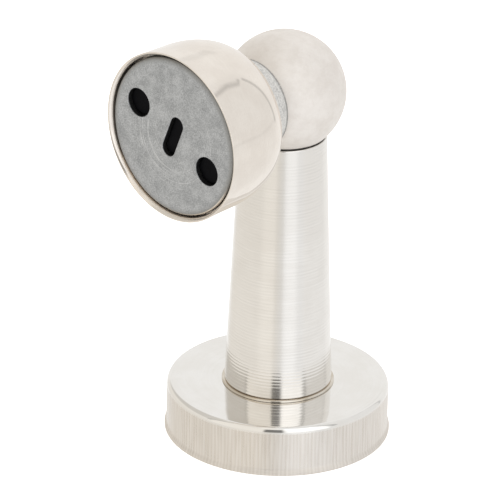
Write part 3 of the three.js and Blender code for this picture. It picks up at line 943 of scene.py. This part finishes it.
outer_steps = [(-FACE_EDGE - 0.05, FACE_FRONT)]
outer_steps += bend(-FACE_EDGE, FACE_FRONT - FACE_EDGE, FACE_EDGE, FACE_EDGE, 90, 0, 10)
outer_steps += [(0.0, face_back + 0.15), (-0.15, face_back), (-0.2, face_back)]
hole_steps = [(HOLE_EDGE + 0.04, FACE_FRONT)]
hole_steps += [(HOLE_EDGE - a, b) for a, b in corner(HOLE_EDGE, FACE_FRONT, HOLE_EDGE, 0, 4)[::-1]]
hole_steps += [(0.0, face_back), (0.04, face_back)]
contours = [(circle(0, 0, FACE_RADIUS, 200), outer_steps)]
contours += [(hole, hole_steps) for hole in openings(0.0)]
face_mesh = plate("face", contours)
face = fit("face", face_mesh, face_steel, "magnet_pack", "pole_plate")

# %% [markdown]
# ## Mould the carrier
# The carrier is one black moulding: a shell round the magnet, a flange that the snap ring stops,
# and three pegs that stand up into the face's holes and slot. The shell is turned, the pegs are
# plates with a rounded top, and they are joined as one mesh.

# %% Join the carrier's shell and pegs
def joined(name, meshes):
    made = bmesh.new()
    for mesh in meshes:
        made.from_mesh(mesh)
    mesh = bpy.data.meshes.new(name)
    made.to_mesh(mesh)
    made.free()
    return faced(mesh)


SHELL = 16.9
SHELL_ROUND = 0.3
FLANGE = 17.6
FLANGE_BACK = 28.4
FLANGE_ROUND = 0.15
MAGNET_HOLE = 15.2
MAGNET_END = 31.75
SHELL_LIP = 14.6
CARRIER_BACK = -span("magnet_carrier", 1)[1]
carrier_front = face_back - 0.05


shell_outline = [
    (0.0, MAGNET_END), (MAGNET_HOLE, MAGNET_END), (MAGNET_HOLE, CARRIER_BACK + 0.6),
    (SHELL_LIP, CARRIER_BACK + 0.5), (SHELL_LIP, CARRIER_BACK),
    *corner(SHELL, CARRIER_BACK, SHELL_ROUND, -90, 4), (SHELL, FLANGE_BACK),
    *corner(FLANGE, FLANGE_BACK, FLANGE_ROUND, -90, 3), *corner(FLANGE, GROOVE_BACK, FLANGE_ROUND, 0, 3),
    (SHELL, GROOVE_BACK), *corner(SHELL, carrier_front, SHELL_ROUND, 0, 4), (0.0, carrier_front),
]
PEG_GAP = 0.12
PEG_TOP = FACE_FRONT - 1.05
PEG_EDGE = 0.3
peg_steps = [(-PEG_EDGE - 0.05, PEG_TOP)]
peg_steps += bend(-PEG_EDGE, PEG_TOP - PEG_EDGE, PEG_EDGE, PEG_EDGE, 90, 0, 6)
peg_steps.append((0.0, carrier_front - 0.5))
pegs = [plate("peg", [(peg, peg_steps)]) for peg in openings(PEG_GAP)]
carrier_mesh = joined("carrier", [spin("shell", shell_outline, 128, outward), *pegs])
carrier = fit("carrier", carrier_mesh, black_plastic, "magnet_pack", "magnet_carrier")

# %% [markdown]
# ## The spring behind the magnet
# The magnet pack floats on a compression spring. Its wire follows a path, a screw line, so a tree
# lays the path and sweeps the wire's round section along it. The spring stands on the cup's
# floor, so it rides with the cup.

# %% Coil the spring
def spring_coiler():
    length = "NodeSocketFloat"
    coiler = Tree("spring_coil", {
        "Turns": (length, 3.5), "Coil Radius": (length, 0.0076), "Wire Radius": (length, 0.0006),
        "From": (length, 0.0177), "Length": (length, 0.0067), "Height": (length, 0.08155),
    })
    path = coiler.node("GeometryNodeCurveSpiral", None, {
        "Resolution": 48, "Rotations": coiler.given("Turns"), "Height": coiler.given("Length"),
        "Start Radius": coiler.given("Coil Radius"), "End Radius": coiler.given("Coil Radius"),
    })
    section = coiler.node("GeometryNodeCurvePrimitiveCircle", {"mode": "RADIUS"}, {
        "Resolution": 16, "Radius": coiler.given("Wire Radius"),
    })
    wire = coiler.node("GeometryNodeCurveToMesh", None, {
        "Curve": path, "Profile Curve": section, "Fill Caps": True,
    })
    closed = coiler.node("GeometryNodeMergeByDistance", None, {"Geometry": wire, "Distance": 0.000001})
    place = coiler.node("ShaderNodeCombineXYZ", None, {
        1: coiler.product(coiler.given("From"), -1.0), 2: coiler.given("Height"),
    })
    lying = coiler.node("GeometryNodeTransform", None, {
        "Geometry": closed, "Translation": place, "Rotation": (math.pi / 2, 0.0, 0.0),
    })
    coiler.finish(lying, zinc_steel)
    return coiler


WIRE = 0.6
spring_end, spring_start = [-v for v in span("buffer_spring", 1)]
spring_coil = spring_coiler()
spring_mesh = spring_coil.run(
    "spring", bpy.data.meshes.new("nothing"), From=MM * (spring_start + WIRE),
    Length=MM * (spring_end - spring_start - 2 * WIRE), Height=MM * BALL_HEIGHT,
)
spring = fit("spring", faced(spring_mesh), zinc_steel, "head", "buffer_spring")

# %% [markdown]
# ## The spring's travel
# A rigid spring would be cut by the plate that pushes on it. The pack's travel is read from
# the joint, and from it the share of the spring's length that would be left at the end of the
# travel. The spring gets a mesh of its own; nothing here shortens it.

# %% Read the pack's travel
TRAVEL = 1000 * max(frame["joints"][1]["range_m"])
kept = 1.0 - TRAVEL / (spring_end - spring_start)
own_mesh(spring)

# %% [markdown]
# ## Finishes for the parts inside
# The other hidden parts keep their exact solids and only get their finish. All are zinc-plated
# steel but the magnet.

# %% Finish the hidden parts
INSIDE = [
    "floor_plate", "centre_stud", "foot_bush", "top_plug", "ball_bolt", "thrust_washer", "disc_spring",
    "cup_screw", "lock_washer", "retaining_ring", "back_plate", "ring_magnet",
]
for node in INSIDE:
    solid = frame["nodes"][node].data
    solid.materials.clear()
    solid.materials.append(ferrite if node == "ring_magnet" else zinc_steel)
print("finished inside:", len(INSIDE), "parts")

# %% [markdown]
# ## The studio
# Polished steel shows the room it stands in, so most of its look is the room. This one is a
# white tent, nearly even, with a few things in it: a bright panel just right of the lens, a dim
# gap where the lens looks in, a paler panel to the left, a dim far left, and a seam to the right.
# Each is a patch of a bearing and a height, soft at its edges, that adds light or takes it away.
# Bearings are degrees round from the camera. The left of the tent is a little warmer, and the
# bright panel a little cooler.

# %% Draw the light tent
TENT_LIGHT = 0.89
TENT_PATCHES = [
    # name, bearing from and to, height from and to, softness, change
    ("far left", -152, -74, 16, 64, 6, -0.20),
    ("left panel's edge", -75, -70, 12, 62, 1.5, -0.28),
    ("left panel", -69, -13, -2, 56, 2.5, 0.08),
    ("lens gap", -13, 6, -4, 42, 2, -0.66),
    ("lens gap in the floor", -13, 6, -85, -6, 5, -0.12),
    ("key panel", 9, 53, -4, 60, 2.5, 0.40),
    ("key panel in the floor", 10, 38, -85, -4, 8, 0.14),
    ("key panel's top edge", 32, 78, 62, 66, 1.5, -0.30),
    ("key panel's side edge", 57, 63, 10, 60, 1.5, -0.35),
    ("right", 64, 121, -2, 40, 4, -0.02),
    ("seam", 121.5, 125, -10, 38, 1.4, -0.26),
    ("seam along the top", 96, 121, 40.5, 43, 1.4, -0.24),
    ("table's edge", 84, 122, -9, -6, 1.5, -0.05),
    ("floor's glow", -200, 200, -95, -14, 8, 0.05),
    ("floor at the left", -150, -45, -60, -10, 10, -0.07),
    ("floor at the right", 60, 150, -60, -10, 10, -0.03),
    ("roof edge", 166, 177, 30, 37, 2.5, -0.08),
    ("behind right", 126, 190, -70, 60, 8, 0.06),
    ("behind left", -190, -150, -70, 60, 8, 0.06),
]


def light_tent():
    world = bpy.data.worlds.new("tent")
    bpy.context.scene.world = world
    world.use_nodes = True
    world.node_tree.nodes.clear()
    sky = Nodes(world.node_tree)
    where = sky.node("ShaderNodeTexCoord", None, None, "Generated")
    parts = sky.node("ShaderNodeSeparateXYZ", None, {0: where}).socket.node.outputs
    x, y, z = [Value(sky, parts[i]) for i in range(3)]
    turn = sky.math("ARCTAN2", x, y * -1.0) / (2 * math.pi) - VIEW_AZIMUTH / (2 * math.pi) + 0.5
    bearing = (sky.math("FRACT", turn) - 0.5) * 360.0
    height = sky.math("ARCSINE", z) * (180.0 / math.pi)
    light = TENT_LIGHT
    for _, left, right, low, high, soft, change in TENT_PATCHES:
        wide = bearing.ramp(left - soft, left + soft) * bearing.ramp(right + soft, right - soft)
        tall = height.ramp(low - soft, low + soft) * height.ramp(high + soft, high - soft)
        light = wide * tall * change + light
    warm, plain, cold = (1.0, 0.965, 0.905), (1.0, 0.995, 0.985), (0.98, 0.985, 0.99)
    to_left = bearing.ramp(10.0, -15.0) * bearing.ramp(-165.0, -130.0)
    cool = bearing.ramp(4.0, 12.0) * bearing.ramp(62.0, 50.0)
    tint = sky.mix(sky.mix(plain, warm, to_left), cold, cool)
    tent = sky.node("ShaderNodeBackground", None, {"Color": tint, "Strength": light})
    paper = sky.node("ShaderNodeBackground", None, {"Color": (1.0, 1.0, 1.0, 1.0), "Strength": 1.0})
    seen = sky.node("ShaderNodeLightPath", None, None, "Is Camera Ray")
    both = sky.node("ShaderNodeMixShader", None, {0: seen, 1: tent, 2: paper})
    end = world.node_tree.nodes.new("ShaderNodeOutputWorld")
    world.node_tree.links.new(both.socket, end.inputs["Surface"])


light_tent()
bpy.context.scene.view_settings.view_transform = "Standard"
print("light tent drawn with", len(TENT_PATCHES), "patches")

# %% [markdown]
# ## The floor
# The floor is a big sheet of white paper, a fifth of a millimetre under the base so that the two
# don't fight. It gives off some light itself, which keeps the shadow on it faint. It doesn't show
# in the steel: the tent has its own patches for the floor, and their tone can be chosen.

# %% Lay the floor
FLOOR_HALF = 3.0
FLOOR_DROP = 0.0002


def lay_floor():
    mesh = bpy.data.meshes.new("floor")
    signs = ((-1, -1), (1, -1), (1, 1), (-1, 1))
    mesh.from_pydata([(FLOOR_HALF * a, FLOOR_HALF * b, -FLOOR_DROP) for a, b in signs], [], [(0, 1, 2, 3)])
    floor = bpy.data.objects.new("floor", mesh)
    bpy.context.scene.collection.objects.link(floor)
    paper = Finish("paper", Base_Color=(0.9, 0.9, 0.9, 1.0), Roughness=0.9)
    paper.shader.inputs["Emission Color"].default_value = (1.0, 1.0, 1.0, 1.0)
    paper.shader.inputs["Emission Strength"].default_value = 0.8
    mesh.materials.append(paper.material)
    floor.visible_glossy = False


lay_floor()
print("floor laid")

# %% [markdown]
# ## One soft light
# The tent lights everything evenly. One large disc, high on the right, adds a faint direction.

# %% Hang one soft light
HOLDER_MIDDLE = Vector((0, 0, 0.05))
KEY_DISTANCE = 1.2

key = bpy.data.objects.new("key", bpy.data.lights.new("key", "AREA"))
bpy.context.scene.collection.objects.link(key)
key.data.shape = "DISK"
key.data.size = 1.0
key.data.energy = 0.25
towards_key = line_out(math.radians(60), math.radians(50))
key.location = HOLDER_MIDDLE + KEY_DISTANCE * towards_key
key.rotation_mode = "QUATERNION"
key.rotation_quaternion = towards_key.to_track_quat("Z", "Y")
print("light at", [round(v, 2) for v in key.location])
